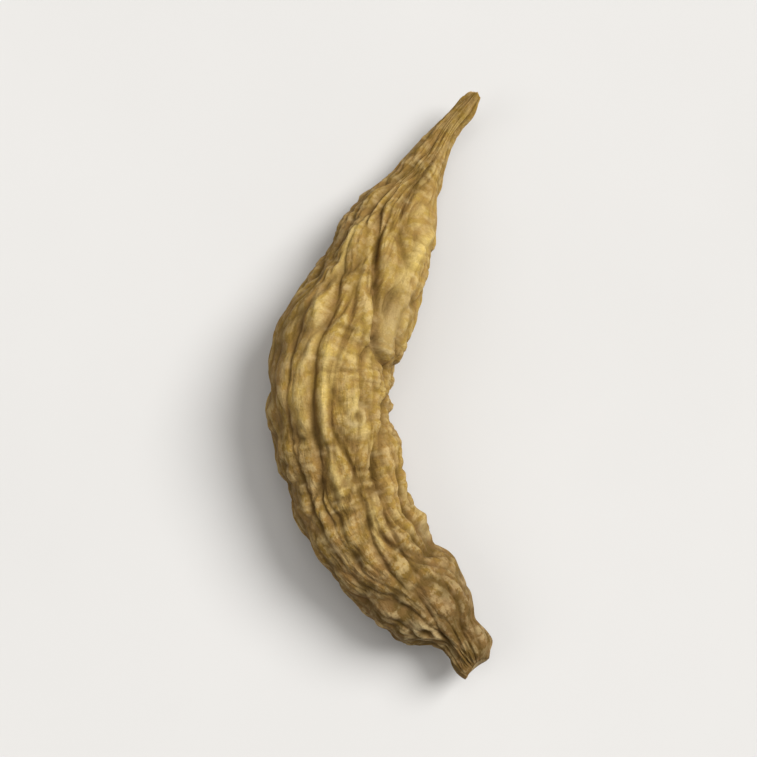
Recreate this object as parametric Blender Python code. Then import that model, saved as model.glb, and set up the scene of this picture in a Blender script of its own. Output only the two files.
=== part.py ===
"""A dried ginseng root, one grown piece, lying on its side.

Seen from above the root bends like a crescent. It runs from a thin broken tail, at +Y, through a
plump belly to the crown, at -Y, where the snapped-off neck of the old stem stands out.
Drying has shrunk its skin into long furrows and folds, and growth has left rings near the crown.

The whole skin is one closed grid: rows follow the root's axis, and columns go round it.
Sizes below are millimetres. Turns count round the root: 0 is its right side, 0.25 its top,
0.5 its left side and 0.75 its underside. Run is the distance along the axis from the tail.
"""

import bmesh
import bpy
import numpy as np

MM = 0.001

# The grid of the skin
COLUMNS = 88
BODY_ROWS = 60
FACE_ROWS = 3

# Places read along the axis to space the rows, and how far to each side its direction is taken
AXIS_SAMPLES, AXIS_REACH = 400, 0.2

# The axis of the root, and its half width seen from above:
# x, y, height over the surface, half width
STATIONS = np.array(
    [
        (9.9, 23.0, 3.3, 0.60),
        (9.6, 22.6, 3.2, 0.80),
        (8.3, 21.1, 2.8, 0.95),
        (6.9, 19.0, 2.5, 1.30),
        (4.9, 15.6, 2.6, 2.40),
        (3.0, 12.2, 3.2, 3.45),
        (1.0, 7.1, 4.2, 4.60),
        (-1.1, 2.7, 4.75, 5.30),
        (-2.1, -2.0, 4.85, 5.50),
        (-1.2, -7.5, 4.45, 5.25),
        (0.2, -11.6, 4.15, 4.85),
        (2.15, -14.85, 3.95, 4.65),
        (4.25, -17.15, 3.75, 4.45),
        (6.15, -19.0, 3.6, 4.00),
        (7.5, -20.5, 3.5, 3.10),
        (8.35, -21.6, 3.5, 2.35),
        (9.05, -22.55, 3.55, 1.95),
        (9.6, -23.35, 3.55, 1.72),
        (9.95, -23.8, 3.55, 1.25),
    ]
)
HEIGHT_TO_WIDTH = 0.95
SKIN_ALLOWANCE = 0.15
FLAT_DEPTH = 0.22

# Relief is weaker where the root is thin: half widths and shares between which it grows
THIN, THICK, THIN_SHARE = 0.5, 4.5, 0.15

# Relief is calmer along the ridge that the root lies on: by how much, and in how many turns
UNDERSIDE, CALM, CALM_TURNS = 0.75, 0.4, 0.06

# The table of random values behind each noise field
NOISE_ROWS, NOISE_REACH = 64, 2.2

# Large lumps of the body
LUMP_CELLS, LUMP_RUN, LUMP_HEIGHT = 4, 13.0, 0.42

# Wrinkles that drying leaves everywhere: cells round the root, cell length, depth, crease width
WRINKLES = (
    (14, 6.6, 0.40, 0.42),
    (25, 4.3, 0.28, 0.45),
)
WANDER_CELLS, WANDER_RUN, WANDER_TURNS = 5, 5.0, 0.045

# Deep furrows on the upper side: depth, width, and (run, offset) points along each.
# Offset goes across the root seen from above, from -1 at its left edge to 1 at its right.
FURROWS = (
    (0.48, 0.42, ((16.5, -0.62), (21.2, -0.38), (26.0, -0.20), (30.6, -0.22), (35.0, -0.44), (41.5, -0.52))),
    (0.42, 0.42, ((20.0, -0.10), (26.5, 0.15), (31.5, 0.10), (37.6, 0.18), (40.6, -0.03), (45.0, -0.10))),
    (0.70, 0.45, ((12.5, -0.42), (15.8, -0.10), (18.5, 0.15), (20.6, 0.40), (23.1, 0.60), (25.2, 0.88))),
    (0.32, 0.42, ((21.0, -0.70), (26.3, -0.60), (33.4, -0.66), (42.0, -0.72))),
    (0.36, 0.40, ((6.0, 0.30), (9.8, 0.16), (12.9, 0.25), (18.6, 0.80))),
    (0.40, 0.40, ((32.5, 0.66), (37.0, 0.50), (45.0, 0.34))),
)
FURROW_FADE = 2.0

# Ridges that stand out among the wrinkles: height, width, and points along each as above
RIDGES = (
    (0.32, 0.40, ((24.8, -0.07), (28.3, -0.05), (31.4, -0.14))),
    (0.22, 0.75, ((27.4, -0.43), (31.4, -0.45))),
    (0.22, 0.50, ((21.8, -0.56), (24.2, -0.34), (26.8, -0.43))),
    (0.24, 0.38, ((24.6, 0.12), (28.0, 0.09))),
    (0.28, 0.80, ((28.4, 0.43), (31.9, 0.44))),
    (0.28, 0.40, ((33.0, -0.12), (36.6, -0.16))),
    (0.28, 0.42, ((37.4, 0.34), (41.2, 0.06))),
    (0.30, 0.50, ((12.2, 0.90), (16.4, 0.67), (18.8, 0.58))),
    (0.26, 0.42, ((13.8, -0.62), (19.8, -0.58))),
)
RIDGE_FADE = 0.8

# The fold of skin that lies along the right side of the upper half and ends in a blunt lip
FOLD_START, FOLD_END, FOLD_LIP = 8.0, 24.9, 1.5
FOLD_TURNS, FOLD_WIDTH, FOLD_HEIGHT = 0.07, 2.0, 0.75
FOLD_RISE = -4, 6

# Growth rings: run of each, depth and width
RINGS = (29.6, 32.6, 35.6, 38.0, 40.3, 42.4, 44.3, 46.0, 47.4, 49.3, 50.4)
RING_DEPTH, RING_WIDTH = 0.15, 0.38
RING_SWAY, RING_SWAY_RUN, RING_SWAY_CELLS = 0.55, 9.0, 4
RING_SHARE, RING_UNEVEN, RING_CELLS = 0.65, 0.6, 3

# The snapped neck: where it starts, and the size of the knobs that leave it out of round
NECK_RUN = 49.0
KNOB_CELLS, KNOB_RUN, KNOB_HEIGHT, KNOB_FADE = 4, 1.2, 0.45, 1.0

# How far the middle of each broken end is sunk in or stands out
TAIL_BULGE, NECK_DISH = 0.35, 0.35

# Scars of rootlets trimmed off: run, turns, radius, height, depth of the dimple
SCARS = (
    (11.5, 0.56, 0.70, 0.30, 0.12),
    (19.5, 0.60, 0.85, 0.35, 0.15),
    (29.5, 0.93, 0.85, 0.35, 0.15),
    (30.1, 0.179, 0.90, 0.30, 0.22),
    (33.5, 0.41, 0.60, 0.20, 0.10),
    (37.0, 0.88, 0.75, 0.35, 0.15),
    (41.8, 0.02, 1.20, 0.25, 0.15),
    (48.7, 0.350, 1.10, 0.45, 0.75),
)
STUB_TOP, STUB_FOOT, DIMPLE = 0.55, 1.35, 0.45

# The dried skin: its mean colour, and how matt it is
SKIN_COLOUR, SKIN_ROUGHNESS = (0.37, 0.24, 0.08, 1.0), 0.78


def spline(knots, values, at):
    """A smooth curve through `values` at `knots`: natural cubic pieces, read at `at`."""
    count = len(knots)
    gaps = np.diff(knots)
    slopes = np.diff(values, axis=0) / (gaps if values.ndim == 1 else gaps[:, None])
    system = np.eye(count)
    right = np.zeros_like(values)
    for i in range(1, count - 1):
        system[i, i - 1 : i + 2] = gaps[i - 1], 2 * (gaps[i - 1] + gaps[i]), gaps[i]
        right[i] = 6 * (slopes[i] - slopes[i - 1])
    bends = np.linalg.solve(system, right)
    piece = np.clip(np.searchsorted(knots, at) - 1, 0, count - 2)
    gap = gaps[piece]
    left = (at - knots[piece]) / gap
    if values.ndim > 1:
        gap, left = gap[..., None], left[..., None]
    rest = 1 - left
    curve = rest * values[piece] + left * values[piece + 1]
    cubic = (rest**3 - rest) * bends[piece] + (left**3 - left) * bends[piece + 1]
    return curve + cubic * gap**2 / 6


def spline_weights(share):
    """The four cubic B-spline weights at a place `share` of the way through a cell."""
    rest = 1 - share
    return (
        rest**3 / 6,
        (3 * share**3 - 6 * share**2 + 4) / 6,
        (3 * rest**3 - 6 * rest**2 + 4) / 6,
        share**3 / 6,
    )


def noise(turns, along, cells, seed):
    """Smooth random values, mostly from -1 to 1, on a lattice of `cells` that closes round the root."""
    table = np.random.default_rng(seed).uniform(-NOISE_REACH, NOISE_REACH, (cells, NOISE_ROWS))
    around = np.mod(turns, 1.0) * cells
    column, row = np.floor(around).astype(int), np.floor(along).astype(int)
    across, down = spline_weights(around - column), spline_weights(along - row)
    total = np.zeros(np.broadcast(turns, along).shape)
    for i in range(4):
        for j in range(4):
            total += across[i] * down[j] * table[(column + i) % cells, (row + j) % NOISE_ROWS]
    return total


def smooth_step(value, low, high):
    """0 below `low`, 1 above `high`, and an S-shaped rise between them."""
    share = np.clip((value - low) / (high - low), 0.0, 1.0)
    return share * share * (3 - 2 * share)


def turns_apart(turns, other):
    """The shorter way round from `other` to `turns`, from -0.5 to 0.5."""
    return np.mod(turns - other + 0.5, 1.0) - 0.5


def wrinkles(turns, run):
    """Creases where a noise field stretched along the root crosses zero, with round ridges between."""
    sway = WANDER_TURNS * noise(turns, run / WANDER_RUN, WANDER_CELLS, 11)
    total = np.zeros(np.broadcast(turns, run).shape)
    for layer, (cells, length, depth, width) in enumerate(WRINKLES):
        field = noise(turns + sway, run / length, cells, 21 + layer)
        total -= depth * np.exp(-np.abs(field) / width)
    return total


def drawn_lines(turns, run, girth, lines, fade):
    """Rounded strips along the given lines, with ends that run out over `fade` to each side."""
    total = np.zeros(np.broadcast(turns, run).shape)
    for height, width, points in lines:
        runs, offsets = np.array(points).T
        inside = np.clip(run, runs[0], runs[-1])
        line = np.arccos(np.clip(spline(runs, offsets, inside), -1, 1)) / (2 * np.pi)
        away = turns_apart(turns, line) * girth
        present = smooth_step(run, runs[0] - fade, runs[0] + fade)
        present = present * (1 - smooth_step(run, runs[-1] - fade, runs[-1] + fade))
        total += height * present * np.exp(-((away / width) ** 2))
    return total


def fold(turns, run, girth):
    """The long fold on the right side: a flat-topped ridge that ends at a blunt lip."""
    away = turns_apart(turns, FOLD_TURNS) * girth
    ridge = np.exp(-((away / FOLD_WIDTH) ** 4))
    along = smooth_step(run, FOLD_START + FOLD_RISE[0], FOLD_START + FOLD_RISE[1])
    along = along * (1 - smooth_step(run, FOLD_END - FOLD_LIP, FOLD_END))
    return FOLD_HEIGHT * ridge * along


def rings(turns, run):
    """Growth rings: shallow grooves round the crown's end, broken and uneven."""
    sway = RING_SWAY * noise(turns, run / RING_SWAY_RUN, RING_SWAY_CELLS, 31)
    total = np.zeros(np.broadcast(turns, run).shape)
    for i, ring in enumerate(RINGS):
        uneven = RING_UNEVEN * noise(turns, np.zeros_like(run), RING_CELLS, 41 + i)
        strength = np.clip(RING_SHARE + uneven, 0, 1)
        total -= RING_DEPTH * strength * np.exp(-(((run + sway - ring) / RING_WIDTH) ** 2))
    return total


def scars(turns, run, girth):
    """Short stubs with a dished top where rootlets were trimmed off."""
    total = np.zeros(np.broadcast(turns, run).shape)
    for scar_run, scar_turns, radius, height, depth in SCARS:
        away = np.hypot(turns_apart(turns, scar_turns) * girth, run - scar_run) / radius
        stub = 1 - smooth_step(away, STUB_TOP, STUB_FOOT)
        total += height * stub - depth * np.exp(-((away / DIMPLE) ** 2))
    return total


def relief(turns, run, half_width):
    """Height of the skin over the smooth body, in millimetres."""
    girth = 2 * np.pi * half_width
    thickness = THIN_SHARE + (1 - THIN_SHARE) * smooth_step(half_width, THIN, THICK)
    calm = 1 - CALM * np.exp(-((turns_apart(turns, UNDERSIDE) / CALM_TURNS) ** 2))
    lumps = LUMP_HEIGHT * noise(turns, run / LUMP_RUN, LUMP_CELLS, 5)
    drawn = drawn_lines(turns, run, girth, RIDGES, RIDGE_FADE)
    drawn = drawn - drawn_lines(turns, run, girth, FURROWS, FURROW_FADE)
    skin = lumps + wrinkles(turns, run) + drawn + rings(turns, run)
    skin = SKIN_ALLOWANCE + calm * (skin + fold(turns, run, girth))
    knobs = KNOB_HEIGHT * smooth_step(run, NECK_RUN - KNOB_FADE, NECK_RUN + KNOB_FADE)
    knobs = knobs * noise(turns, run / KNOB_RUN, KNOB_CELLS, 61)
    return thickness * skin + knobs + scars(turns, run, girth)


def rows_of_skin(runs, half_widths):
    """(run, shrink) of each row: even steps along the body's outline, then rows across each end face."""
    outline = np.cumsum(np.hypot(np.diff(runs), np.diff(half_widths)))
    outline = np.concatenate([[0.0], outline])
    body = np.interp(np.linspace(0, outline[-1], BODY_ROWS), outline, runs)
    face = np.linspace(0, 1, FACE_ROWS + 1)[1:-1]
    run = np.concatenate([np.full(len(face), runs[0]), body, np.full(len(face), runs[-1])])
    shrink = np.concatenate([face, np.ones(BODY_ROWS), face[::-1]])
    return run, shrink


def skin_points():
    """The grid of points, row by row, and the middle points of the two end faces."""
    steps = np.hypot(*np.diff(STATIONS[:, :2], axis=0).T)
    knots = np.concatenate([[0.0], np.cumsum(steps)])
    fine = np.linspace(0, knots[-1], AXIS_SAMPLES)
    run, shrink = rows_of_skin(fine, spline(knots, STATIONS, fine)[:, 3])
    ends = np.array([0.0, knots[-1]])
    run_all = np.concatenate([ends[:1], run, ends[1:]])
    here = spline(knots, STATIONS, run_all)
    ahead = spline(knots, STATIONS, np.clip(run_all + AXIS_REACH, 0, knots[-1]))
    behind = spline(knots, STATIONS, np.clip(run_all - AXIS_REACH, 0, knots[-1]))
    along = ahead[:, :3] - behind[:, :3]
    along /= np.linalg.norm(along, axis=1, keepdims=True)
    side = np.cross(along, (0, 0, 1))
    side /= -np.linalg.norm(side, axis=1, keepdims=True)
    up = np.cross(along, side)
    up *= np.sign(up[:, 2:])
    turns = np.arange(COLUMNS) / COLUMNS
    angle = 2 * np.pi * turns
    body = slice(1, -1)
    half_width = here[body, 3:]
    rise = relief(turns[None, :], run[:, None], half_width)
    wide = (half_width + rise) * shrink[:, None] * np.cos(angle)
    tall = (half_width * HEIGHT_TO_WIDTH + rise) * shrink[:, None] * np.sin(angle)
    hollow = 1 - shrink**2
    pushed = np.where(run < ends[1] / 2, -TAIL_BULGE, -NECK_DISH) * hollow
    grid = (
        here[body, None, :3]
        + pushed[:, None, None] * along[body, None]
        + wide[..., None] * side[body, None]
        + tall[..., None] * up[body, None]
    )
    tail = here[0, :3] - TAIL_BULGE * along[0]
    neck = here[-1, :3] - NECK_DISH * along[-1]
    return grid, tail, neck


def settled(points):
    """The points moved down until the underside presses a thin flat on the surface, and centred over it."""
    points[:, 2] -= points[:, 2].min() + FLAT_DEPTH
    points[:, 2] = np.maximum(points[:, 2], 0.0)
    middle = (points.min(0) + points.max(0)) / 2
    points[:, :2] -= middle[:2]
    return points


def skin_faces(rows):
    """Four-sided faces between the rows, and a fan of triangles round the middle of each end face."""
    column = np.arange(COLUMNS)
    following = (column + 1) % COLUMNS
    faces = []
    for row in range(rows - 1):
        low, high = row * COLUMNS, (row + 1) * COLUMNS
        faces += zip(low + column, low + following, high + following, high + column)
    tail, neck = rows * COLUMNS, rows * COLUMNS + 1
    last = (rows - 1) * COLUMNS
    faces += [(tail, int(b), int(a)) for a, b in zip(column, following)]
    faces += [(neck, int(a), int(b)) for a, b in zip(last + column, last + following)]
    return [tuple(map(int, face)) for face in faces]


def split_along_short_diagonals(mesh):
    """Four-sided faces cut in two across their shorter diagonal, so that slanting furrows stay smooth."""
    work = bmesh.new()
    work.from_mesh(mesh)
    bmesh.ops.triangulate(work, faces=work.faces, quad_method="SHORT_EDGE")
    work.to_mesh(mesh)
    work.free()


def root_material():
    """Matt tan skin of the dried root."""
    material = bpy.data.materials.new("dried_root_skin")
    material.use_nodes = True
    shader = material.node_tree.nodes["Principled BSDF"]
    shader.inputs["Base Color"].default_value = SKIN_COLOUR
    shader.inputs["Roughness"].default_value = SKIN_ROUGHNESS
    shader.inputs["Metallic"].default_value = 0.0
    return material


def make_root():
    """The root as one closed mesh object."""
    grid, tail_middle, neck_middle = skin_points()
    rows = len(grid)
    points = np.concatenate([grid.reshape(-1, 3), [tail_middle], [neck_middle]])
    points = settled(points) * MM
    mesh = bpy.data.meshes.new("root")
    mesh.from_pydata(points.tolist(), [], skin_faces(rows))
    split_along_short_diagonals(mesh)
    mesh.shade_smooth()
    mesh.materials.append(root_material())
    root = bpy.data.objects.new("root", mesh)
    bpy.context.scene.collection.objects.link(root)
    return root


def main():
    for old in list(bpy.data.objects):
        bpy.data.objects.remove(old)
    make_root()


main()
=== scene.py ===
# %% [markdown]
# # A dried ginseng root
#
# The root is one grown thing. It bends like a crescent, from a thin broken tail through a plump
# belly to the crown, where the old stem's neck has snapped off. Drying shrank its flesh, and the
# skin, now too large, gathered in long ridges with dark furrows between them.
#
# It could be sculpted by hand, or scanned. Here it is a formula instead: the skin is a sheet with
# two parameters, the way round and the way along, and every fold is one more term added to its
# height. The same numbers then steer the colour: a deep furrow gets painted shade, and a ridge
# top a painted highlight.

import bpy
import numpy as np
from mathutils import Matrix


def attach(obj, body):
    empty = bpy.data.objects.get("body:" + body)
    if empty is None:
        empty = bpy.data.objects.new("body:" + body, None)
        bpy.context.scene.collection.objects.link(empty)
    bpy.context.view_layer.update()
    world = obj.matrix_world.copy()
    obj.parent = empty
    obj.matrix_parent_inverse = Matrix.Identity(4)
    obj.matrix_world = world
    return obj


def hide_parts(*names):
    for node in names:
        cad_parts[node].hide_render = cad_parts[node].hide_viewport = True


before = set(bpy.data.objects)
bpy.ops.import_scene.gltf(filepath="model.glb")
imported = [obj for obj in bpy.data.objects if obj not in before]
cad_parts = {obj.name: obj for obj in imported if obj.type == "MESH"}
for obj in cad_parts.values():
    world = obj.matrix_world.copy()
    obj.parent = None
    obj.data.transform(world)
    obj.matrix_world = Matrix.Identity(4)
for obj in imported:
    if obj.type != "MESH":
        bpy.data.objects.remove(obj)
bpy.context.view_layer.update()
MM = 0.001

# %% [markdown]
# ## Camera, table and light
#
# The root lies on a table and the camera looks down on it, leaning a few degrees towards the
# crown's side. A soft lamp at the upper right rakes over the skin, because wrinkles only show when
# the light crosses them. A wide weak lamp on the left, another overhead and the pale room fill
# the shadows. A Sun lamp shines the same from any distance, so the whole table is lit evenly.

# %% Camera
CAMERA_LIFT = 84.0
CAMERA_LENS, SENSOR = 90.0, 36.0
NEAREST = 5 * MM
VIEW_HEIGHT = 61.5 * MM
LOOK_AT = np.array((0.0, 0.1, 4.5)) * MM


def from_above(distance, azimuth, elevation):
    """A point at a distance from LOOK_AT: azimuth 0 is the -Y side, 90 the +X side, in degrees."""
    turn, lift = np.radians(azimuth), np.radians(elevation)
    way = (np.sin(turn) * np.cos(lift), -np.cos(turn) * np.cos(lift), np.sin(lift))
    return LOOK_AT + distance * np.array(way)


def aim(item, azimuth, elevation):
    """Turns a camera or a lamp at that azimuth and elevation towards LOOK_AT."""
    item.rotation_euler = (np.radians(90 - elevation), 0, np.radians(azimuth))


camera_data = bpy.data.cameras.new("camera")
camera_data.lens, camera_data.sensor_width = CAMERA_LENS, SENSOR
camera_data.clip_start = NEAREST
camera = bpy.data.objects.new("camera", camera_data)
bpy.context.scene.collection.objects.link(camera)
camera_distance = VIEW_HEIGHT * CAMERA_LENS / SENSOR
camera.location = from_above(camera_distance, 0, CAMERA_LIFT)
aim(camera, 0, CAMERA_LIFT)
bpy.context.scene.camera = camera
print("camera", round(camera_distance / MM), "mm away")

# %% Lamps and room
LAMPS = (
    # name, azimuth, elevation, how wide it looks from the table in degrees, watts per square metre
    ("key", 116, 48, 34, 3.95),
    ("fill", -80, 48, 38, 0.50),
    ("top", 170, 76, 34, 0.66),
)
LAMP_DISTANCE = 300 * MM
ROOM_COLOUR, ROOM_STRENGTH = (1.0, 0.975, 0.93, 1.0), 0.28
for name, azimuth, elevation, spread, strength in LAMPS:
    lamp_data = bpy.data.lights.new(name, "SUN")
    lamp_data.angle = np.radians(spread)
    lamp_data.energy = strength
    lamp = bpy.data.objects.new(name, lamp_data)
    lamp.location = from_above(LAMP_DISTANCE, azimuth, elevation)
    aim(lamp, azimuth, elevation)
    bpy.context.scene.collection.objects.link(lamp)

room = bpy.data.worlds.new("room")
room.use_nodes = True
room.node_tree.nodes["Background"].inputs["Color"].default_value = ROOM_COLOUR
room.node_tree.nodes["Background"].inputs["Strength"].default_value = ROOM_STRENGTH
bpy.context.scene.world = room
bpy.context.scene.view_settings.view_transform = "Standard"
print(len(LAMPS), "lamps")

# %% [markdown]
# ## The sheet and its axis
#
# A long bent thing is easiest as a profile carried along a path. The path is a smooth curve
# through a few stations, each with its place, its height over the table and its half width.
# Natural cubic pieces join them, because they bend evenly and pass through every station.
#
# Two names return all the way down. Turns counts round the root: 0 is its right side, 0.25 its
# top, 0.5 its left side and 0.75 its underside. Run is the distance from the tail, in mm. Every
# other length of the root is in mm too, until the mesh is made and MM turns it into metres.

# %% The root's stations
STATIONS = np.array(
    [
        # x, y, height, half width, all in mm
        (9.9, 23.0, 3.3, 0.60),
        (9.6, 22.6, 3.2, 0.80),
        (8.3, 21.1, 2.8, 0.95),
        (6.9, 19.0, 2.5, 1.30),
        (4.9, 15.6, 2.6, 2.40),
        (3.0, 12.2, 3.2, 3.45),
        (1.0, 7.1, 4.2, 4.60),
        (-1.1, 2.7, 4.75, 5.30),
        (-2.1, -2.0, 4.85, 5.50),
        (-1.2, -7.5, 4.45, 5.25),
        (0.2, -11.6, 4.15, 4.85),
        (2.15, -14.85, 3.95, 4.65),
        (4.25, -17.15, 3.75, 4.45),
        (6.15, -19.0, 3.6, 4.00),
        (7.5, -20.5, 3.5, 3.10),
        (8.35, -21.6, 3.5, 2.35),
        (9.05, -22.55, 3.55, 1.95),
        (9.6, -23.35, 3.55, 1.72),
        (9.95, -23.8, 3.55, 1.25),
    ]
)
HEIGHT_TO_WIDTH = 0.95
SKIN_ALLOWANCE = 0.15
FLAT_DEPTH = 0.22


def spline(knots, values, at):
    """A smooth curve: cubic pieces whose bend changes evenly from knot to knot, and is 0 at the ends."""
    count = len(knots)
    gaps = np.diff(knots)
    slopes = np.diff(values, axis=0) / (gaps if values.ndim == 1 else gaps[:, None])
    system = np.eye(count)
    right = np.zeros_like(values)
    for i in range(1, count - 1):
        system[i, i - 1 : i + 2] = gaps[i - 1], 2 * (gaps[i - 1] + gaps[i]), gaps[i]
        right[i] = 6 * (slopes[i] - slopes[i - 1])
    bends = np.linalg.solve(system, right)
    piece = np.clip(np.searchsorted(knots, at) - 1, 0, count - 2)
    gap = gaps[piece]
    left = (at - knots[piece]) / gap
    if values.ndim > 1:
        gap, left = gap[..., None], left[..., None]
    rest = 1 - left
    curve = rest * values[piece] + left * values[piece + 1]
    cubic = (rest**3 - rest) * bends[piece] + (left**3 - left) * bends[piece + 1]
    return curve + cubic * gap**2 / 6


steps = np.hypot(*np.diff(STATIONS[:, :2], axis=0).T)
KNOTS = np.concatenate([[0.0], np.cumsum(steps)])
LENGTH = KNOTS[-1]
print("the root is", round(LENGTH, 1), "mm long along its bend")

# %% [markdown]
# ## Noise that closes round the root
#
# Blender has noise textures, but a shape needs noise that it can also measure. This one is a
# lattice of random numbers, smoothed by cubic B-splines. Its columns go round the root and meet
# again, so there is no seam. A cell can be narrow across and long along, as wrinkles are. In the
# names below, CELLS counts the cells round the root, and a RUN beside it is each cell's length.

# %% Closed noise
LATTICE_ROWS = 64
LATTICE_SPREAD = 2.2
SEEDS = {
    # which table of random numbers each effect draws; layers take the numbers that follow
    "lumps": 5,
    "wander": 11,
    "fine wander": 15,
    "wrinkles": 21,
    "ring sway": 31,
    "rings": 41,
    "fine wrinkles": 51,
    "knobs": 61,
    "creases kept": 73,
    "drawn creases": 75,
    "pores": 91,
    "scars": 95,
    "torn ends": 101,
    "vessels": 103,
    "ragged rim": 104,
    "bridges": 111,
    "flank shade": 121,
}


def spline_weights(share):
    """The four cubic B-spline weights at a place `share` of the way through a cell."""
    rest = 1 - share
    return (
        rest**3 / 6,
        (3 * share**3 - 6 * share**2 + 4) / 6,
        (3 * rest**3 - 6 * rest**2 + 4) / 6,
        share**3 / 6,
    )


def noise(turns, along, cells, seed):
    """Smooth random values, mostly from -1 to 1: the sixteen nearest lattice values, weighted."""
    size = (cells, LATTICE_ROWS)
    table = np.random.default_rng(seed).uniform(-LATTICE_SPREAD, LATTICE_SPREAD, size)
    around = np.mod(turns, 1.0) * cells
    column, row = np.floor(around).astype(int), np.floor(along).astype(int)
    across, down = spline_weights(around - column), spline_weights(along - row)
    total = np.zeros(np.broadcast(turns, along).shape)
    for i, share_across in enumerate(across):
        for j, share_down in enumerate(down):
            corner = table[(column + i) % cells, (row + j) % LATTICE_ROWS]
            total += share_across * share_down * corner
    return total


def smooth_step(value, low, high):
    """0 below `low`, 1 above `high`, and an S-shaped rise between them."""
    share = np.clip((value - low) / (high - low), 0.0, 1.0)
    return share * share * (3 - 2 * share)


def turns_apart(turns, other):
    """The shorter way round from `other` to `turns`, from -0.5 to 0.5."""
    return np.mod(turns - other + 0.5, 1.0) - 0.5


SAMPLE_POINTS, SAMPLE_ROWS, SAMPLE_CELLS, SAMPLE_SEED = 200, 9, 12, 1
sample_turns = np.linspace(0, 1, SAMPLE_POINTS)[None, :]
sample_along = np.linspace(0, SAMPLE_ROWS, SAMPLE_POINTS)[:, None]
sample = noise(sample_turns, sample_along, SAMPLE_CELLS, SAMPLE_SEED)
print("noise runs from", round(float(sample.min()), 2), "to", round(float(sample.max()), 2))

# %% [markdown]
# ## Wrinkles and furrows
#
# Dry skin creases along sharp lines and stays round between them. Plain noise has no sharp
# lines, but the places where it crosses zero are lines, so a crease is cut wherever a noise field
# is near zero. Layers from coarse to fine give ridges on ridges, and the coarse ones are cut a
# second time with a narrower blade, for a sharp line in the bottom of each wide crease. The few
# deep furrows and high ridges that make this root itself, and not any root, are drawn one by one.
#
# A furrow in dry skin is rarely open along its whole length. Skin bridges it here and there, so
# noise lifts parts of it. Only the edge of the long fold is a true gap, and stays open.

# %% Wrinkles
WRINKLES = (
    # cells round the root, cell length in mm, depth in mm, crease width as a share of the noise
    (14, 6.6, 0.40, 0.42),
    (25, 4.3, 0.28, 0.45),
)
SHARP_WRINKLES = (
    (14, 6.6, 0.17, 0.13),
    (25, 4.3, 0.18, 0.14),
)
FINE_WRINKLES = (
    (43, 1.9, 0.19, 0.26),
    (68, 1.3, 0.12, 0.30),
)
WANDER_CELLS, WANDER_RUN, WANDER_TURNS = 5, 5.0, 0.045
FINE_WANDER_CELLS, FINE_WANDER_RUN, FINE_WANDER_TURNS = 13, 1.9, 0.011


def wrinkles(turns, run, layers, seed):
    """Sum of -depth * exp(-|noise| / width) over the layers, with the way round swayed a little."""
    sway = WANDER_TURNS * noise(turns, run / WANDER_RUN, WANDER_CELLS, SEEDS["wander"])
    total = np.zeros(np.broadcast(turns, run).shape)
    for layer, (cells, length, depth, width) in enumerate(layers):
        field = noise(turns + sway, run / length, cells, seed + layer)
        total -= depth * np.exp(-np.abs(field) / width)
    return total


print(len(WRINKLES), "coarse and", len(FINE_WRINKLES), "fine layers of wrinkles")

# %% Drawn furrows and ridges
FURROWS = (
    # depth, width, and (run, offset) points: offset is -1 at the left edge and 1 at the right
    (0.48, 0.42, ((16.5, -0.62), (21.2, -0.38), (26.0, -0.20), (30.6, -0.22), (35.0, -0.44), (41.5, -0.52))),
    (0.42, 0.42, ((20.0, -0.10), (26.5, 0.15), (31.5, 0.10), (37.6, 0.18), (40.6, -0.03), (45.0, -0.10))),
    (0.70, 0.45, ((12.5, -0.42), (15.8, -0.10), (18.5, 0.15), (20.6, 0.40), (23.1, 0.60), (25.2, 0.88))),
    (0.32, 0.42, ((21.0, -0.70), (26.3, -0.60), (33.4, -0.66), (42.0, -0.72))),
    (0.36, 0.40, ((6.0, 0.30), (9.8, 0.16), (12.9, 0.25), (18.6, 0.80))),
    (0.40, 0.40, ((32.5, 0.66), (37.0, 0.50), (45.0, 0.34))),
)
FURROW_FADE = 2.0
# the third furrow is the fold's edge, the others are softer, and each has a narrow line in it
FOLD_EDGE, SOFT_FURROWS = FURROWS[2:3], FURROWS[:2] + FURROWS[3:]
SOFT_SHARE = 0.55
SHARP_DEPTH, SHARP_WIDTH = 0.18, 0.14
SHARP_FURROWS = tuple((SHARP_DEPTH, SHARP_WIDTH, points) for _, _, points in FURROWS)
RIDGES = (
    # height, width, and points as above
    (0.32, 0.40, ((24.8, -0.07), (28.3, -0.05), (31.4, -0.14))),
    (0.22, 0.75, ((27.4, -0.43), (31.4, -0.45))),
    (0.22, 0.50, ((21.8, -0.56), (24.2, -0.34), (26.8, -0.43))),
    (0.24, 0.38, ((24.6, 0.12), (28.0, 0.09))),
    (0.28, 0.80, ((28.4, 0.43), (31.9, 0.44))),
    (0.28, 0.40, ((33.0, -0.12), (36.6, -0.16))),
    (0.28, 0.42, ((37.4, 0.34), (41.2, 0.06))),
    (0.30, 0.50, ((12.2, 0.90), (16.4, 0.67), (18.8, 0.58))),
    (0.26, 0.42, ((13.8, -0.62), (19.8, -0.58))),
)
RIDGE_FADE = 0.8


def drawn_lines(turns, run, girth, lines, fade):
    """Strips along drawn lines: height * exp(-(distance / width) squared), faded at their ends."""
    total = np.zeros(np.broadcast(turns, run).shape)
    for height, width, points in lines:
        runs, offsets = np.array(points).T
        inside = np.clip(run, runs[0], runs[-1])
        line = np.arccos(np.clip(spline(runs, offsets, inside), -1, 1)) / (2 * np.pi)
        away = turns_apart(turns, line) * girth
        present = smooth_step(run, runs[0] - fade, runs[0] + fade)
        present = present * (1 - smooth_step(run, runs[-1] - fade, runs[-1] + fade))
        total += height * present * np.exp(-((away / width) ** 2))
    return total


print(len(FURROWS), "furrows and", len(RIDGES), "ridges drawn")

# %% Bridges
BRIDGE_CELLS, BRIDGE_RUN = 17, 1.4
BRIDGE_FROM, BRIDGE_FULL, BRIDGE_SHARE = 0.0, 0.8, 0.55


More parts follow.
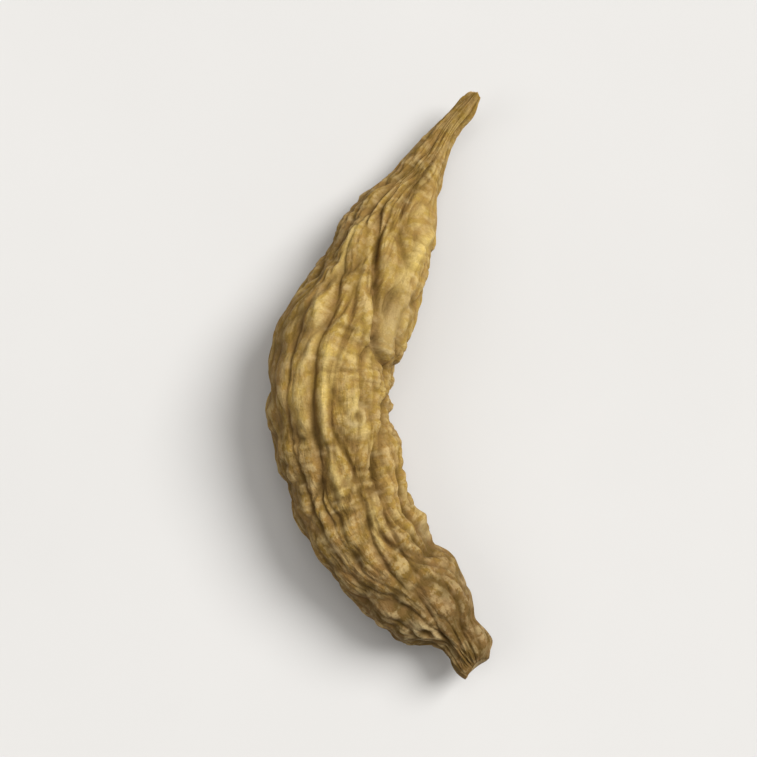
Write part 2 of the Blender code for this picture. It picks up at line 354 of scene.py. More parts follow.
def open_share(turns, run):
    """1 where a furrow is open, and less where skin bridges it: 1 - share * step(noise)."""
    field = noise(turns, run / BRIDGE_RUN, BRIDGE_CELLS, SEEDS["bridges"])
    return 1 - BRIDGE_SHARE * smooth_step(field, BRIDGE_FROM, BRIDGE_FULL)


print("a bridge takes up to", BRIDGE_SHARE, "of a furrow's depth away")

# %% The long fold
FOLD_START, FOLD_END, FOLD_LIP = 8.0, 24.9, 1.5
FOLD_TURNS, FOLD_WIDTH, FOLD_HEIGHT = 0.07, 2.0, 0.75
FOLD_RISE = -4, 6


def fold(turns, run, girth):
    """A flat-topped ridge on the right side, height * exp(-(distance / width)^4), with a blunt lip."""
    away = turns_apart(turns, FOLD_TURNS) * girth
    ridge = np.exp(-((away / FOLD_WIDTH) ** 4))
    along = smooth_step(run, FOLD_START + FOLD_RISE[0], FOLD_START + FOLD_RISE[1])
    along = along * (1 - smooth_step(run, FOLD_END - FOLD_LIP, FOLD_END))
    return FOLD_HEIGHT * ridge * along


print("the fold is", round(FOLD_END - FOLD_START, 1), "mm long and stands", FOLD_HEIGHT, "mm high")

# %% [markdown]
# ## Rings, cross creases and beads
#
# A ginseng root pulls itself down into the soil a little each year, and its skin folds across
# in rings near the crown. Finer cross creases cut the long ridges into a chain of beads. The
# creases are lines again: one narrow groove for each ring, swayed by noise and broken by it.

# %% Rings
RINGS = (29.6, 32.6, 35.6, 38.0, 40.3, 42.4, 44.3, 46.0, 47.4, 49.3, 50.4)
RING_DEPTH, RING_WIDTH = 0.15, 0.38
RING_SWAY, RING_SWAY_RUN, RING_SWAY_CELLS = 0.55, 9.0, 4
RING_SHARE, RING_UNEVEN, RING_CELLS = 0.65, 0.6, 3


def rings(turns, run):
    """Growth rings: a groove at each ring's run, swayed by noise and uneven in strength."""
    sway = RING_SWAY * noise(turns, run / RING_SWAY_RUN, RING_SWAY_CELLS, SEEDS["ring sway"])
    total = np.zeros(np.broadcast(turns, run).shape)
    for i, ring in enumerate(RINGS):
        uneven = RING_UNEVEN * noise(turns, np.zeros_like(run), RING_CELLS, SEEDS["rings"] + i)
        strength = np.clip(RING_SHARE + uneven, 0, 1)
        total -= RING_DEPTH * strength * np.exp(-(((run + sway - ring) / RING_WIDTH) ** 2))
    return total


print(len(RINGS), "rings")

# %% Fine cross creases
CREASE_GAP = 0.95
CREASE_DEPTH, CREASE_WIDTH = 0.10, 0.12
CREASE_SWAYS = (
    # sway as a share of the gap, cell length in mm, cells round the root, seed
    (0.75, 3.2, 9, 71),
    (0.20, 1.1, 31, 72),
)
CREASE_CELLS, CREASE_RUN, CREASE_FROM, CREASE_FULL = 14, 1.9, 0.05, 0.65
DRAWN_CREASES = (
    # run, offset, half length across in mm, depth in mm
    (34.6, 0.50, 1.6, 0.26),
    (35.5, 0.45, 1.5, 0.24),
    (36.4, 0.44, 1.1, 0.20),
    (36.4, -0.20, 1.0, 0.22),
    (37.4, -0.24, 1.1, 0.22),
    (23.2, 0.08, 1.0, 0.24),
    (42.4, 0.02, 0.8, 0.20),
    (31.2, -0.60, 1.1, 0.16),
    (26.3, 0.35, 1.2, 0.16),
    (18.4, -0.10, 1.0, 0.15),
)
DRAWN_WIDTH, DRAWN_BEND = 0.17, 0.06
DRAWN_SWAY, DRAWN_SWAY_RUN, DRAWN_SWAY_CELLS = 0.12, 2.0, 40
BEADS = (
    # height in mm, cell length in mm, cells round the root, seed
    (0.22, 1.5, 19, 81),
    (0.12, 0.8, 40, 82),
)


def cross_creases(turns, run):
    """Narrow grooves across the root, one every CREASE_GAP: swayed, and kept only where noise is high."""
    sway = sum(share * noise(turns, run / length, cells, seed) for share, length, cells, seed in CREASE_SWAYS)
    phase = np.mod(run / CREASE_GAP + sway + 0.5, 1.0) - 0.5
    kept = noise(turns, run / CREASE_RUN, CREASE_CELLS, SEEDS["creases kept"])
    present = smooth_step(kept, CREASE_FROM, CREASE_FULL)
    return -CREASE_DEPTH * present * np.exp(-((phase * CREASE_GAP / CREASE_WIDTH) ** 2))


def drawn_creases(turns, run, girth):
    """The cross creases that stand out on the upper side, each a short bent groove."""
    total = np.zeros(np.broadcast(turns, run).shape)
    sway = DRAWN_SWAY * noise(turns, run / DRAWN_SWAY_RUN, DRAWN_SWAY_CELLS, SEEDS["drawn creases"])
    for place, offset, reach, depth in DRAWN_CREASES:
        across = turns_apart(turns, np.arccos(offset) / (2 * np.pi)) * girth
        bent = run - place + DRAWN_BEND * across**2 + sway
        total -= depth * np.exp(-((across / reach) ** 4)) * np.exp(-((bent / DRAWN_WIDTH) ** 2))
    return total


def beads(turns, run):
    """Low round swellings along the ridges, on a lattice about as wide as a ridge."""
    return sum(height * noise(turns, run / length, cells, seed) for height, length, cells, seed in BEADS)


print(len(DRAWN_CREASES), "cross creases drawn, and a finer one every", CREASE_GAP, "mm")

# %% [markdown]
# ## Scars, knobs and pores
#
# Rootlets were trimmed off and left short stubs with a dished top. The neck is knobbly where
# stems of past years broke away. All over the skin are pores, short pale dashes that lie across
# the root and stand out a hair's breadth. Each is a small bump, placed by a seeded draw.

# %% Scars and knobs
SCARS = (
    # run, turns, radius, height, depth of the dimple
    (11.5, 0.56, 0.70, 0.30, 0.12),
    (19.5, 0.60, 0.85, 0.35, 0.15),
    (29.5, 0.93, 0.85, 0.35, 0.15),
    (30.1, 0.179, 0.95, 0.34, 0.34),
    (33.5, 0.41, 0.60, 0.20, 0.10),
    (37.0, 0.88, 0.75, 0.35, 0.15),
    (41.8, 0.02, 1.20, 0.25, 0.15),
    (48.7, 0.350, 1.10, 0.45, 0.75),
)
STUB_TOP, STUB_FOOT, DIMPLE = 0.55, 1.35, 0.45
STUB_UNEVEN, STUB_RUN, STUB_CELLS = 0.28, 0.9, 34
RIM, RIM_WIDTH, FULL_DIMPLE_SHADE, FULL_RIM, LEAST_RIM = 0.78, 0.22, 0.25, 0.75, 0.7
NECK_RUN = 49.0
KNOB_CELLS, KNOB_RUN, KNOB_HEIGHT, KNOB_FADE = 4, 1.2, 0.45, 1.0


def scars(turns, run, girth):
    """(relief, dimple, rim) of the stubs: a round step up with a dimple in its middle. The dimple mask is
    painted shade, fuller where the dimple is deeper.
    """
    relief = np.zeros(np.broadcast(turns, run).shape)
    dimple, rim = np.zeros_like(relief), np.zeros_like(relief)
    out_of_round = 1 + STUB_UNEVEN * noise(turns, run / STUB_RUN, STUB_CELLS, SEEDS["scars"])
    for scar_run, scar_turns, radius, height, depth in SCARS:
        away = np.hypot(turns_apart(turns, scar_turns) * girth, run - scar_run) / radius
        away = away * out_of_round
        stub = 1 - smooth_step(away, STUB_TOP, STUB_FOOT)
        sunk = np.exp(-((away / DIMPLE) ** 2))
        relief += height * stub - depth * sunk
        dimple = np.maximum(dimple, sunk * min(1.0, depth / FULL_DIMPLE_SHADE))
        pale = np.clip(depth / FULL_RIM, LEAST_RIM, 1)
        rim = np.maximum(rim, pale * np.exp(-(((away - RIM) / RIM_WIDTH) ** 2)))
    return relief, dimple, rim


def knobs(turns, run):
    """Lumps that leave the neck out of round."""
    near_neck = smooth_step(run, NECK_RUN - KNOB_FADE, NECK_RUN + KNOB_FADE)
    return KNOB_HEIGHT * near_neck * noise(turns, run / KNOB_RUN, KNOB_CELLS, SEEDS["knobs"])


print(len(SCARS), "scars of rootlets")

# %% Pores
PORES = 230
PORE_LENGTH, PORE_WIDTH, PORE_HEIGHT, PORE_SLANT = 0.42, 0.12, 0.055, 0.15
PORE_SIZES = 0.6, 1.35
PORE_FREE_TAIL, PORE_FREE_NECK = 4.0, 3.0
PORE_REACH = 4


def pores(turns, run, girth):
    """Pale dashes across the root: exp(-(across / length)^2 - (along / width)^2) for each one."""
    draw = np.random.default_rng(SEEDS["pores"])
    total = np.zeros(np.broadcast(turns, run).shape)
    rows = run[:, 0]
    lowest = (PORE_FREE_TAIL, 0.0, PORE_SIZES[0])
    highest = (LENGTH - PORE_FREE_NECK, 1.0, PORE_SIZES[1])
    for place, way, size in draw.uniform(lowest, highest, (PORES, 3)):
        near = np.abs(rows - place) < PORE_REACH * PORE_WIDTH
        across = turns_apart(turns, way) * girth[near]
        along = run[near] - place + PORE_SLANT * across
        bump = np.exp(-((across / (PORE_LENGTH * size)) ** 2) - (along / (PORE_WIDTH * size)) ** 2)
        total[near] = np.maximum(total[near], bump)
    return total


print(PORES, "pores")

# %% [markdown]
# ## The whole skin
#
# The terms are added up. The folds and creases are weaker on the underside and where the root is
# thin, so the tail keeps its fine lines and loses the big ones. The sum is stored twice: as the
# shape, and as numbers on each point that say how deep, creased or scarred it is there, which the
# colour uses for painted shade and painted highlight. Two more say where the left flank gets
# painted shade and how tight the skin is stretched.

# %% Height of the skin
LUMP_CELLS, LUMP_RUN, LUMP_HEIGHT = 4, 13.0, 0.42
UNDERSIDE, CALM, CALM_TURNS = 0.75, 0.4, 0.06
THIN, THICK, THIN_SHARE = 0.5, 4.5, 0.15
FINE_THIN, FINE_THICK, FINE_SHARE = 0.3, 3.0, 0.35
BARE_TURNS, BARE_WIDTH, BARE_RUN, BARE_LENGTH, BARE_CALM = 0.125, 1.0, 21.4, 2.4, 0.60
# painted shade on the left flank, the side away from the key lamp
FLANK_SHADE_TURNS, FLANK_SHADE_WIDTH = 0.43, 0.11
FLANK_SHADE_UNEVEN, FLANK_SHADE_RUN, FLANK_SHADE_CELLS = 0.4, 6.0, 5
WINDOW_ROWS, WINDOW_COLUMNS = 5, 7
FULL = {
    # the height or depth in mm at which each mask is full
    "wear_and_painted_light": 0.36,
    "groove": 0.85,
    "ridge": 0.30,
    "crease": 0.30,
    "cross": 0.16,
}
# the share of the rings' depth that joins the painted shade of the cross creases
RING_SHADE_SHARE = 0.35


def bare_patch(turns, run, girth):
    """1 on the smooth face of the fold beside its lip, where the skin is stretched tight."""
    across = turns_apart(turns, BARE_TURNS) * girth / BARE_WIDTH
    return np.exp(-(across**2) - ((run - BARE_RUN) / BARE_LENGTH) ** 2)


def painted_flank_shade(turns, run):
    """1 on the left flank, where the colour gets painted shade, uneven by noise."""
    uneven = FLANK_SHADE_UNEVEN * noise(turns, run / FLANK_SHADE_RUN, FLANK_SHADE_CELLS, SEEDS["flank shade"])
    away = turns_apart(turns, FLANK_SHADE_TURNS) / FLANK_SHADE_WIDTH
    return np.clip(1 + uneven, 0, 1) * np.exp(-(away**2))


def stands_out(height):
    """Height less its mean over a window a ridge wide: above 0 on ridge tops, below 0 in hollows, for rubbed
    wear with painted highlight and painted shade.
    """
    mean = height
    for axis, reach in ((0, WINDOW_ROWS), (1, WINDOW_COLUMNS)):
        shifts = range(-reach, reach + 1)
        mean = sum(np.roll(mean, shift, axis) for shift in shifts) / len(shifts)
    return height - mean


def skin_relief(turns, run, half_width):
    """(height in mm over the smooth body, masks) for every point of the grid."""
    girth = 2 * np.pi * half_width
    thickness = THIN_SHARE + (1 - THIN_SHARE) * smooth_step(half_width, THIN, THICK)
    calm = 1 - CALM * np.exp(-((turns_apart(turns, UNDERSIDE) / CALM_TURNS) ** 2))
    lumps = LUMP_HEIGHT * noise(turns, run / LUMP_RUN, LUMP_CELLS, SEEDS["lumps"])
    ridges = drawn_lines(turns, run, girth, RIDGES, RIDGE_FADE)
    wander = noise(turns, run / FINE_WANDER_RUN, FINE_WANDER_CELLS, SEEDS["fine wander"])
    shaky = turns + FINE_WANDER_TURNS * wander
    opened = open_share(turns, run)
    furrows = SOFT_SHARE * drawn_lines(shaky, run, girth, SOFT_FURROWS, FURROW_FADE)
    edge = drawn_lines(turns, run, girth, FOLD_EDGE, FURROW_FADE)
    folded = ridges + opened * (wrinkles(shaky, run, WRINKLES, SEEDS["wrinkles"]) - furrows) - edge
    ringed = rings(turns, run)
    broad = SKIN_ALLOWANCE + calm * (lumps + folded + ringed + fold(turns, run, girth))
    lines = wrinkles(shaky, run, SHARP_WRINKLES, SEEDS["wrinkles"])
    lines = opened * (lines - drawn_lines(shaky, run, girth, SHARP_FURROWS, FURROW_FADE))
    lines = lines + wrinkles(shaky, run, FINE_WRINKLES, SEEDS["fine wrinkles"])
    crosses = cross_creases(turns, run) + drawn_creases(turns, run, girth)
    pore = pores(turns, run, girth)
    fine = lines + crosses + beads(turns, run) + PORE_HEIGHT * pore
    stubs, dimple, rim = scars(turns, run, girth)
    bare = bare_patch(turns, run, girth)
    keep = FINE_SHARE + (1 - FINE_SHARE) * smooth_step(half_width, FINE_THIN, FINE_THICK)
    height = thickness * broad + keep * calm * (1 - BARE_CALM * bare) * fine
    height = height + knobs(turns, run) + stubs
    masks = {
        # rubbed wear with painted light: paler on ridge tops, painted shade in hollows
        "wear_and_painted_light": np.clip(0.5 + stands_out(height) / FULL["wear_and_painted_light"], 0, 1),
        # painted shade in the deep furrows
        "groove": np.clip(-folded / FULL["groove"], 0, 1),
        # painted highlight on the drawn ridges
        "ridge": np.clip(ridges / FULL["ridge"], 0, 1),
        # painted shade in the fine creases
        "crease": np.clip(-lines / FULL["crease"], 0, 1),
        # painted shade in the cross creases and rings
        "cross": np.clip(-(crosses + RING_SHADE_SHARE * ringed) / FULL["cross"], 0, 1),
        # painted shade on the left flank
        "flank_shade": painted_flank_shade(turns, run),
        "bare": bare,
        "pore": pore,
        # painted shade in the scar dimples
        "scar": dimple,
        "rim": rim,
    }
    return height, masks


print("of the coarse relief, a share of", THIN_SHARE, "stays where the half width is", THIN, "mm")

# %% Rows of the sheet
COLUMNS = 300
BODY_ROWS = 280
FACE_ROWS = 20
AXIS_SAMPLES, AXIS_REACH = 2000, 0.2


def rows_of_skin():
    """(run, shrink) of each row: even steps along the outline, then rows across each end's face."""
    fine = np.linspace(0, LENGTH, AXIS_SAMPLES)
    half_widths = spline(KNOTS, STATIONS, fine)[:, 3]
    outline = np.cumsum(np.hypot(np.diff(fine), np.diff(half_widths)))
    outline = np.concatenate([[0.0], outline])
    body = np.interp(np.linspace(0, outline[-1], BODY_ROWS), outline, fine)
    face = np.linspace(0, 1, FACE_ROWS + 1)[1:-1]
    run = np.concatenate([np.full(len(face), 0.0), body, np.full(len(face), LENGTH)])
    shrink = np.concatenate([face, np.ones(BODY_ROWS), face[::-1]])
    return run, shrink


row_runs, row_shrinks = rows_of_skin()
print(len(row_runs), "rows of", COLUMNS, "points")

# %% [markdown]
# ## The broken ends
#
# A snapped root shows its inside. The tail's tip is torn, and its fibres stand out in the
# middle. The neck's face is a dished scar with a raised rim and a ring where sap vessels ran.
# The rows of both faces shrink to a point, and formulas of the distance from the middle push
# them in and out along the axis. The torn rim is pushed as well, so that no end is cut straight.

# %% Faces of the ends
TAIL_BULGE, NECK_DISH = 0.35, 0.35
TAIL_TORN, NECK_TORN = 0.16, 0.10
TORN_LAYERS = (
    # share, cells from the middle to the rim, cells round the face
    (1.0, 6, 9),
    (0.5, 11, 15),
)
VESSELS, VESSELS_WIDTH, VESSELS_HEIGHT = 0.52, 0.09, 0.13
VESSELS_SHARE, VESSELS_UNEVEN, VESSELS_CELLS = 0.7, 0.5, 12
RIM_FROM, RIM_FULL, RIM_HEIGHT = 0.62, 0.92, 0.10
RAGGED, RAGGED_REACH, RAGGED_CELLS = 0.26, 0.55, 7
BROKEN_FROM, BROKEN_FULL = 0.80, 1.0


def push_of_ends(turns, run, shrink):
    """How far each point moves along the axis, towards the crown, in mm."""
    at_tail = run < LENGTH / 2
    hollow = 1 - shrink**2
    torn = sum(
        share * noise(turns, cells_in * shrink, cells_round, SEEDS["torn ends"] + layer) * shrink
        for layer, (share, cells_in, cells_round) in enumerate(TORN_LAYERS)
    )
    ring = np.exp(-(((shrink - VESSELS) / VESSELS_WIDTH) ** 2))
    uneven = VESSELS_UNEVEN * noise(turns, np.zeros_like(shrink), VESSELS_CELLS, SEEDS["vessels"])
    ring = ring * (VESSELS_SHARE + uneven)
    rim = smooth_step(shrink, RIM_FROM, RIM_FULL)
    tail = -(TAIL_BULGE + TAIL_TORN * torn) * hollow
    neck = (NECK_TORN * torn - NECK_DISH) * hollow + VESSELS_HEIGHT * ring + RIM_HEIGHT * rim
    edge = RAGGED * noise(turns, np.zeros_like(run), RAGGED_CELLS, SEEDS["ragged rim"])
    from_end = np.where(at_tail, run, LENGTH - run)
    near = np.exp(-((from_end / RAGGED_REACH) ** 2)) * shrink
    face = np.where(at_tail, tail, neck) * (shrink < 1)
    raised = np.where(at_tail, 0.0, RIM_HEIGHT) * (shrink >= 1) * near
    return face + raised + edge * near


print("the neck's face is dished by", NECK_DISH, "mm, and the tail's bulges by", TAIL_BULGE, "mm")

# %% Points of the skin
def skin_points():
    """(grid of points in mm, masks): station + push * along + wide * side + tall * up."""
    turns = (np.arange(COLUMNS) / COLUMNS)[None, :]
    cosine, sine = np.cos(2 * np.pi * turns), np.sin(2 * np.pi * turns)
    run, shrink = row_runs[:, None], row_shrinks[:, None]
    here = spline(KNOTS, STATIONS, row_runs)
    ahead = spline(KNOTS, STATIONS, np.clip(row_runs + AXIS_REACH, 0, LENGTH))
    behind = spline(KNOTS, STATIONS, np.clip(row_runs - AXIS_REACH, 0, LENGTH))
    along = ahead[:, :3] - behind[:, :3]
    along /= np.linalg.norm(along, axis=1, keepdims=True)
    side = np.cross(along, (0, 0, 1))
    side /= -np.linalg.norm(side, axis=1, keepdims=True)
    up = np.cross(along, side)
    up *= np.sign(up[:, 2:])
    half_width = here[:, 3:]
    height, masks = skin_relief(turns, run, half_width)
    wide = (half_width + height) * shrink * cosine
    tall = (half_width * HEIGHT_TO_WIDTH + height) * shrink * sine
    push = push_of_ends(turns, run, shrink)
    grid = here[:, None, :3] + push[..., None] * along[:, None]
    grid = grid + wide[..., None] * side[:, None] + tall[..., None] * up[:, None]
    whole_grid = np.ones_like(height)
    spread = half_width * shrink * whole_grid
    masks["straight"] = np.stack([spread * cosine, spread * sine, run + push], axis=-1)
    masks["broken"] = (1 - smooth_step(shrink, BROKEN_FROM, BROKEN_FULL)) * whole_grid
    masks["from_tail"] = run / LENGTH * whole_grid
    return grid, masks


def settled(grid):
    """The grid moved down until its underside presses a thin flat on the table, and centred."""
    grid[..., 2] -= grid[..., 2].min() + FLAT_DEPTH
    grid[..., 2] = np.maximum(grid[..., 2], 0.0)
    middle = (grid.min((0, 1)) + grid.max((0, 1))) / 2
    grid[..., :2] -= middle[:2]
    return grid


skin_grid, skin_masks = skin_points()
skin_grid = settled(skin_grid)
print("size in mm:", (skin_grid.max((0, 1)) - skin_grid.min((0, 1))).round(2))

# %% [markdown]
# ## From grid to mesh
#
# Rows become four-sided faces, and each end closes in a fan round one middle point. The masks
# go on the points as named attributes. One of them, straight, is the root unbent: a pattern that
# reads it follows the bend, and runs along the root as real fibres do.

# %% Mesh


def sheet_faces(rows):
    """(corners, sizes): four corners for each face between rows, then triangles round both ends."""
    column = np.arange(COLUMNS)
    following = (column + 1) % COLUMNS
    low = (np.arange(rows - 1) * COLUMNS)[:, None]
    quads = np.stack(
        [low + column, low + following, low + COLUMNS + following, low + COLUMNS + column], axis=-1
    )
    last = (rows - 1) * COLUMNS
    tail, neck = np.full(COLUMNS, rows * COLUMNS), np.full(COLUMNS, rows * COLUMNS + 1)
    fans = np.stack([[tail, following, column], [neck, last + column, last + following]])
    fans = fans.transpose(0, 2, 1).reshape(-1)
    sizes = np.concatenate([np.full(quads.shape[0] * COLUMNS, 4), np.full(2 * COLUMNS, 3)])
    return np.concatenate([quads.reshape(-1), fans]), sizes


def with_middles(values):
    """Values of the grid as one list, followed by the mean of the first row and of the last."""
    flat = values.reshape(values.shape[0] * values.shape[1], -1)
    ends = [values[0].reshape(COLUMNS, -1).mean(0), values[-1].reshape(COLUMNS, -1).mean(0)]
    return np.concatenate([flat, ends])


def make_sheet(name, grid, masks):
    """A closed mesh object from a grid of points in mm, with each mask as an attribute."""
    corners, sizes = sheet_faces(len(grid))
    mesh = bpy.data.meshes.new(name)
    points = with_middles(grid) * MM
    mesh.vertices.add(len(points))
    mesh.vertices.foreach_set("co", points.ravel())
    mesh.loops.add(len(corners))
    mesh.loops.foreach_set("vertex_index", corners)
    mesh.polygons.add(len(sizes))
    mesh.polygons.foreach_set("loop_start", np.concatenate([[0], np.cumsum(sizes)[:-1]]))
    mesh.update(calc_edges=True)
    for key, values in masks.items():
        is_vector = values.ndim == 3
        attribute = mesh.attributes.new(key, "FLOAT_VECTOR" if is_vector else "FLOAT", "POINT")
        attribute.data.foreach_set("vector" if is_vector else "value", with_middles(values).ravel())
    mesh.shade_smooth()
    mesh.validate()
    piece = bpy.data.objects.new(name, mesh)
    bpy.context.scene.collection.objects.link(piece)
    return piece


skin = make_sheet("root_skin", skin_grid, skin_masks)
print(skin.name, "has", len(skin.data.polygons), "faces")

# %% [markdown]
# ## Two effects as node groups
#
# Dry fibres run along the root, so their noise is stretched along it. Patches of tone are broad
# and soft, and both the skin and the table use them. Each effect is a group with named inputs,
# so a material places it with its own numbers.

# %% Node helpers


class Tree:
    """A few short ways to place and join shader nodes."""

    def __init__(self, nodes, links):
        self.nodes, self.links = nodes, links

    def put(self, kind, settings=None, **inputs):
        """A new node of that kind: settings are its own properties, inputs are values or sockets."""
        node = self.nodes.new(kind)
        for key, value in (settings or {}).items():
            setattr(node, key, value)
        for key, value in inputs.items():
            self.feed(node.inputs[key.replace("_", " ")], value)
        return node

    def feed(self, socket, value):
        """Links a socket to another, or sets its value."""
        if isinstance(value, bpy.types.NodeSocket):
            self.links.new(value, socket)
        else:
            socket.default_value = value

    def math(self, operation, *values):
        """The result of a Math node on the given values or sockets."""
        node = self.nodes.new("ShaderNodeMath")
        node.operation = operation
        for socket, value in zip(node.inputs, values):
            self.feed(socket, value)
        return node.outputs[0]

    def mix(self, share, first, second):
        """The colour between two colours: the first at share 0, the second at 1."""
        node = self.nodes.new("ShaderNodeMix")
        node.data_type = "RGBA"
        for socket, value in zip((node.inputs[0], node.inputs[6], node.inputs[7]), (share, first, second)):
            self.feed(socket, value)
        return node.outputs[2]

    def mask(self, name):
        """A number stored on the points under that name."""
        return self.put("ShaderNodeAttribute", {"attribute_name": name}).outputs["Fac"]

    def between(self, value, low, high):
        """0 at `low`, 1 at `high`, and held at 0 and 1 beyond them."""
        node = self.put("ShaderNodeMapRange", {"clamp": True}, Value=value, From_Min=low, From_Max=high)
        return node.outputs["Result"]


def new_group(name, inputs, outputs):
    """(group, tree, sockets in, node out): an empty node group with those named sockets."""
    group = bpy.data.node_groups.new(name, "ShaderNodeTree")
    for key, kind, value in inputs:
        socket = group.interface.new_socket(key, in_out="INPUT", socket_type=kind)
        if value is not None:
            socket.default_value = value
    for key in outputs:
        group.interface.new_socket(key, in_out="OUTPUT", socket_type="NodeSocketFloat")
    tree = Tree(group.nodes, group.links)
    return group, tree, tree.put("NodeGroupInput").outputs, tree.put("NodeGroupOutput")


# %% Patches of tone
FLOAT, VECTOR = "NodeSocketFloat", "NodeSocketVector"
patches, tree, given, result = new_group(
    "patches_of_tone",
    [("Place", VECTOR, None), ("Scale", FLOAT, 1.0), ("Sharpness", FLOAT, 0.5)],
    ["Tone"],
)
SOFTEST, SHARPENING = 0.38, 0.35
broad = tree.put(
    "ShaderNodeTexNoise", Vector=given["Place"], Scale=given["Scale"], Detail=4.0, Roughness=0.6
)
spread = tree.math("MULTIPLY_ADD", given["Sharpness"], -SHARPENING, SOFTEST)
low = tree.math("SUBTRACT", 0.5, spread)
high = tree.math("ADD", 0.5, spread)
tree.feed(result.inputs["Tone"], tree.between(broad.outputs["Fac"], low, high))
print("group", patches.name)

# %% Dry fibres
STREAK_RANGE, GRAIN_RANGE, GRAIN_FINER = (0.28, 0.72), (0.25, 0.75), 2.2
fibres, tree, given, result = new_group(
    "dry_fibres",
    [("Place", VECTOR, None), ("Fineness", FLOAT, 2.0), ("Stretch", FLOAT, 0.12)],
    ["Streak", "Grain"],
)
squeeze = tree.put("ShaderNodeCombineXYZ", X=1.0, Y=1.0, Z=given["Stretch"])
stretched = tree.put("ShaderNodeVectorMath", {"operation": "MULTIPLY"})
tree.feed(stretched.inputs[0], given["Place"])
tree.feed(stretched.inputs[1], squeeze.outputs[0])
streak = tree.put(
    "ShaderNodeTexNoise", Vector=stretched.outputs[0], Scale=given["Fineness"], Detail=5.0, Roughness=0.62
)
grain = tree.put(
    "ShaderNodeTexNoise",
    Vector=given["Place"],
    Scale=tree.math("MULTIPLY", given["Fineness"], GRAIN_FINER),
    Detail=4.0,
    Roughness=0.7,
)
tree.feed(result.inputs["Streak"], tree.between(streak.outputs["Fac"], *STREAK_RANGE))
tree.feed(result.inputs["Grain"], tree.between(grain.outputs["Fac"], *GRAIN_RANGE))
print("group", fibres.name)

# %% [markdown]
# ## The finish of the skin
#
# Dry ginseng is straw tan, paler where hands and sacks have rubbed the ridges. The colour also
# carries painted light: painted highlight on the ridges, and painted shade in the furrows, towards
# the crown and on the left flank. So the main colour is read from a ramp by depth, and other cues
# shift the place on the ramp a little. Rust, soil specks, painted shade in creases and scar
# dimples, pores, scar rims and the broken ends are laid over it. The skin is matt, and a bump as
# fine as paper keeps it from looking like wax.

# %% Colours of the skin
TONE_AND_SHADE_COLOURS = (
    # level from dark to light (tone, wear, painted shade and highlight), colour
    (0.00, (0.100, 0.056, 0.008, 1)),
    (0.22, (0.205, 0.118, 0.017, 1)),
    (0.45, (0.325, 0.200, 0.034, 1)),
    (0.66, (0.445, 0.298, 0.064, 1)),
    (0.84, (0.585, 0.422, 0.112, 1)),
    (1.00, (0.700, 0.545, 0.195, 1)),
)
RUST = (0.330, 0.175, 0.070, 1)
# soil specks, and painted shade in creases, cross creases and scar dimples
SOIL_AND_SHADE = (0.125, 0.071, 0.014, 1)
# pores, scar rims, and pale flecks on ridge tops that are wear with painted highlight
PALE = (0.650, 0.505, 0.255, 1)
# painted highlight on the drawn ridges
HIGHLIGHT_GOLD = (0.740, 0.560, 0.190, 1)
TAUT = (0.370, 0.275, 0.120, 1)
FLESH = (0.560, 0.420, 0.200, 1)
HEART = (0.260, 0.160, 0.060, 1)
print(len(TONE_AND_SHADE_COLOURS), "colours on the ramp from deep to high")


# %% An empty material
def new_material(name):
    """(material, tree, shader) with an empty tree but for the shader and the output."""
    material = bpy.data.materials.new(name)
    material.use_nodes = True
    nodes = material.node_tree.nodes
    return material, Tree(nodes, material.node_tree.links), nodes["Principled BSDF"]


def group_in(tree, group, **inputs):
    """A placed node group."""
    return tree.put("ShaderNodeGroup", {"node_tree": group}, **inputs).outputs


def ramp(tree, value, stops):
    """A colour ramp with the given (place, colour) stops."""
    node = tree.put("ShaderNodeValToRGB", Fac=value)
    elements = node.color_ramp.elements
    while len(elements) < len(stops):
        elements.new(0.5)
    for element, (place, colour) in zip(elements, stops):
        element.position, element.color = place, colour
    return node.outputs["Color"]


skin_material, tree, shader = new_material("dried_skin")
print("material", skin_material.name)

# %% Skin material
LOWEST_LEVEL = -0.09
# painted shade: the skin darkens steeply towards the crown
CROWN_SHADE_POWER = 5.0
RIM_TINT, RIM_TINT_GRAIN = 0.15, 0.40
LEAST_ROUGH, ROUGH_SPREAD, SPECULAR_LEVEL = 0.66, 0.16, 0.22
BUMP_STRENGTH, BUMP_HEIGHT = 0.80, 0.16 * MM
BUMP_SHARES = {"streak": 0.60, "grain": 0.50, "threads": 0.40}

place = tree.put("ShaderNodeAttribute", {"attribute_name": "straight"}).outputs["Vector"]
strands = group_in(tree, fibres, Place=place, Fineness=1.9, Stretch=0.10)
tones = group_in(tree, patches, Place=place, Scale=0.32, Sharpness=0.4)
blotches = group_in(tree, patches, Place=place, Scale=0.80, Sharpness=0.85)
flecks = group_in(tree, patches, Place=place, Scale=1.5, Sharpness=0.95)
specks = group_in(tree, patches, Place=place, Scale=4.2, Sharpness=0.98)
threads = group_in(tree, fibres, Place=place, Fineness=5.5, Stretch=0.22)
wear_and_painted_light = tree.mask("wear_and_painted_light")

cues_of_level = (
    # what moves the place on the ramp, and how far
    # painted shade: deep furrows sit lower on the ramp
    (tree.math("SUBTRACT", 1.0, tree.mask("groove")), 0.28),
    # rubbed wear with painted light: ridge tops higher on the ramp, hollows lower
    (wear_and_painted_light, 0.27),
    (strands["Streak"], 0.12),
    (strands["Grain"], 0.18),
    (tones["Tone"], 0.14),
    # painted shade towards the crown
    (tree.math("POWER", tree.mask("from_tail"), CROWN_SHADE_POWER), -0.85),
    # painted shade on the left flank
    (tree.mask("flank_shade"), -0.22),
)
level = LOWEST_LEVEL
for cue, share in cues_of_level:
    level = tree.math("MULTIPLY_ADD", cue, share, level)
colour = ramp(tree, level, TONE_AND_SHADE_COLOURS)

